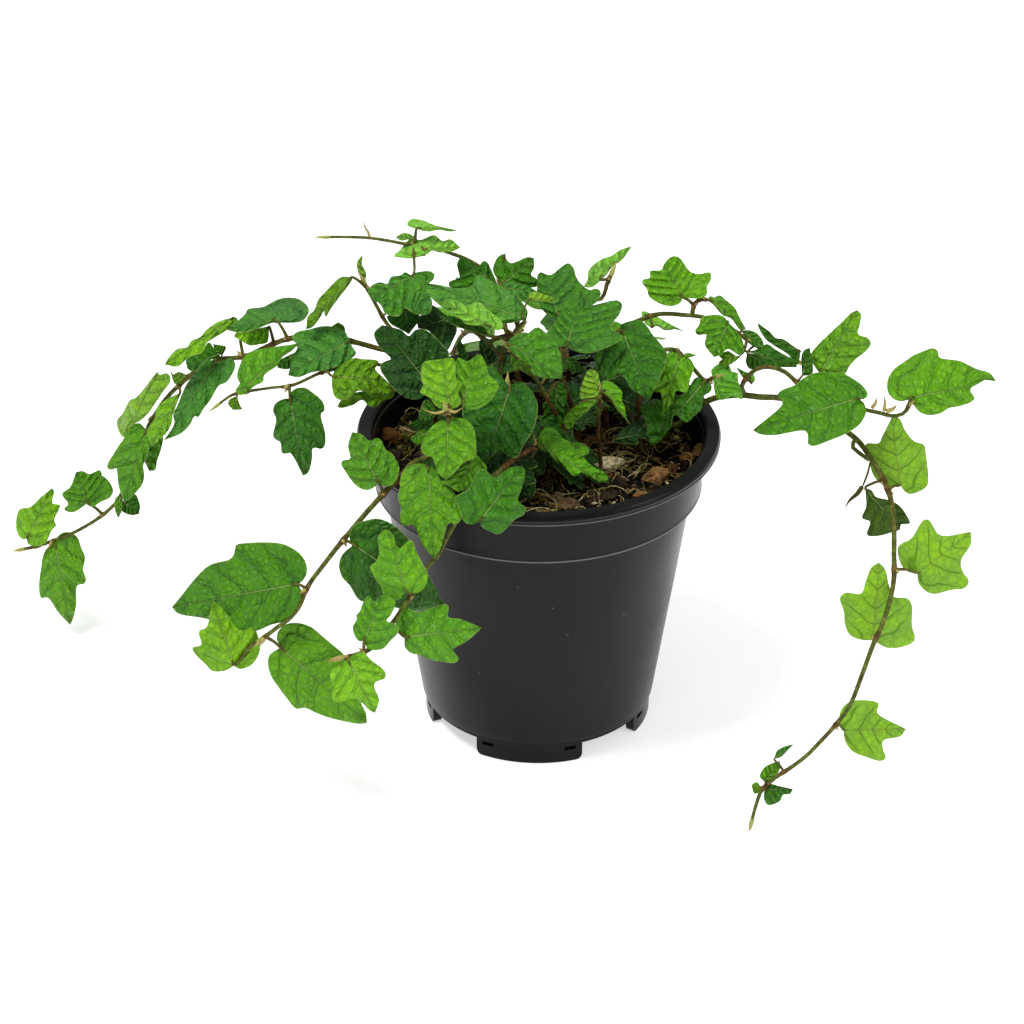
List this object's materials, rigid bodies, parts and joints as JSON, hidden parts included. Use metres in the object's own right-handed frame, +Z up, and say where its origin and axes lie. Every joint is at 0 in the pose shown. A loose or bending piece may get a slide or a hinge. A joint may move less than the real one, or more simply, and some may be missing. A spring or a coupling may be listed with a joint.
{
  "type": "potted creeping fig",
  "caption": "Trailing creeping fig with small lobed oak-like leaves on wiry stems, growing over the rim of a round black nursery pot.",
  "frame": {"origin": "centre of the plant's footprint on the surface that the pot stands on", "axes": "+Z up, -Y toward the front, +X to the right, along the longest extent of the trailing stems"},
  "size_m": [0.2494, 0.1304, 0.1263],
  "materials": {
    "pot_plastic": "black injection-moulded polypropylene, satin",
    "potting_soil": "dark peat and bark potting mix",
    "foliage": "small quilted green leaves with pale sunken veins on brown-green wiry stems"
  },
  "bodies": {
    "root": {"pot": "pot_plastic", "soil": "potting_soil", "left_trailing_stem": "foliage", "left_low_stem": "foliage", "front_left_stem": "foliage", "front_stem": "foliage", "front_cluster_stem": "foliage", "centre_dark_leaf_stem": "foliage", "centre_stem": "foliage", "left_dark_stem": "foliage", "left_upright_stem": "foliage", "top_stem": "foliage", "crown_middle_stem": "foliage", "crown_back_stem": "foliage", "crown_right_stem": "foliage", "inner_right_stem": "foliage", "inner_small_stem": "foliage", "right_upper_stem": "foliage", "right_trailing_stem": "foliage", "back_left_stem": "foliage", "back_middle_stem": "foliage", "back_right_stem": "foliage"}
  },
  "joints": []
}
